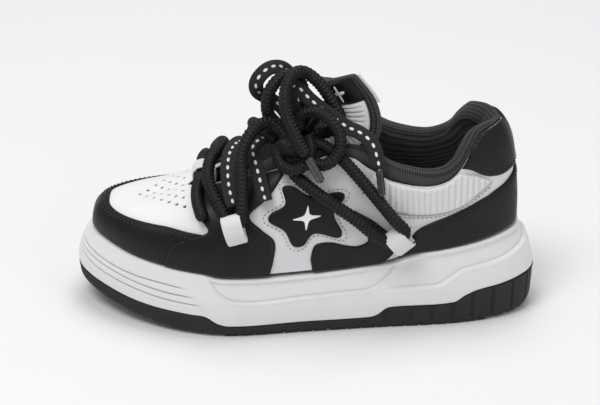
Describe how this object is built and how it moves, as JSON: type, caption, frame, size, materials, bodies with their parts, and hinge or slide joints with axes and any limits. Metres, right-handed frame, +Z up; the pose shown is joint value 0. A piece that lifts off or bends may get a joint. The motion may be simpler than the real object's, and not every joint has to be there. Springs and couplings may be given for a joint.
{
  "type": "laced trainer shoe",
  "caption": "Low lace-up trainer for the left foot with a thick cup sole, padded collar and tongue, star side panels and tied rope laces.",
  "frame": {"origin": "on the ground, on the flat of the tread, under the middle of the shoe", "axes": "+X towards the heel, -X towards the toe, -Y to the outer side of the foot, +Y to the inner side, +Z up"},
  "size_m": [0.2864, 0.1086, 0.1619],
  "materials": {
    "sole_rubber": "matte",
    "sole_foam": "satin",
    "core_foam": "matte",
    "board": "matte",
    "stiffener": "matte",
    "lining_mesh": "matte",
    "white_leather": "satin",
    "pale_leather": "satin",
    "ribbed_fabric": "matte",
    "black_leather": "satin",
    "badge_print": "satin",
    "webbing": "matte",
    "tongue_mesh": "matte",
    "rope_lace": "matte",
    "flat_lace": "matte",
    "clear_tip": "gloss",
    "black_tip": "gloss"
  },
  "bodies": {
    "shoe": {"outsole": "sole_rubber", "forefoot_tread": "sole_rubber", "heel_tread": "sole_rubber", "midsole": "sole_foam", "foam_core": "core_foam", "insole_board": "board", "sockliner": "lining_mesh", "vamp_lining": "lining_mesh", "toe_puff": "stiffener", "heel_stiffener": "stiffener", "quarter_lining": "lining_mesh", "collar_pad": "lining_mesh", "vamp": "white_leather", "outer_quarter": "pale_leather", "inner_quarter": "pale_leather", "rear_quarter": "white_leather", "toe_cap": "black_leather", "outer_front_stay": "black_leather", "inner_front_stay": "black_leather", "outer_rear_overlay": "black_leather", "inner_rear_overlay": "black_leather", "outer_star": "black_leather", "inner_star": "black_leather", "outer_badge": "badge_print", "inner_badge": "badge_print", "outer_rib_panel": "ribbed_fabric", "inner_rib_panel": "ribbed_fabric", "outer_collar_strip": "pale_leather", "inner_collar_strip": "pale_leather", "heel_overlay": "black_leather", "heel_tab": "black_leather", "front_loop": "webbing", "outer_front_loop": "webbing", "inner_front_loop": "webbing", "outer_rear_loop": "webbing", "inner_rear_loop": "webbing", "knot": "rope_lace", "rope_front": "rope_lace", "rope_cross": "rope_lace", "rope_arch": "rope_lace", "rope_rear": "rope_lace", "rope_far": "rope_lace", "bow_back": "rope_lace", "bow_top": "rope_lace", "rope_end": "rope_lace", "rope_tip": "clear_tip", "flat_cross": "flat_lace", "flat_rear": "flat_lace", "flat_bow": "flat_lace", "flat_end": "flat_lace", "flat_tip": "black_tip", "knot_wrap": "rope_lace"},
    "tongue": {"tongue": "tongue_mesh", "tongue_front": "ribbed_fabric", "tongue_label": "black_leather", "tongue_tag": "webbing"}
  },
  "joints": [
    {"name": "tongue_tilt", "type": "hinge", "parent": "shoe", "child": "tongue", "pos_m": [-0.056, 0, 0.072], "axis": [0, 1, 0], "range_deg": [-1, 12]}
  ]
}
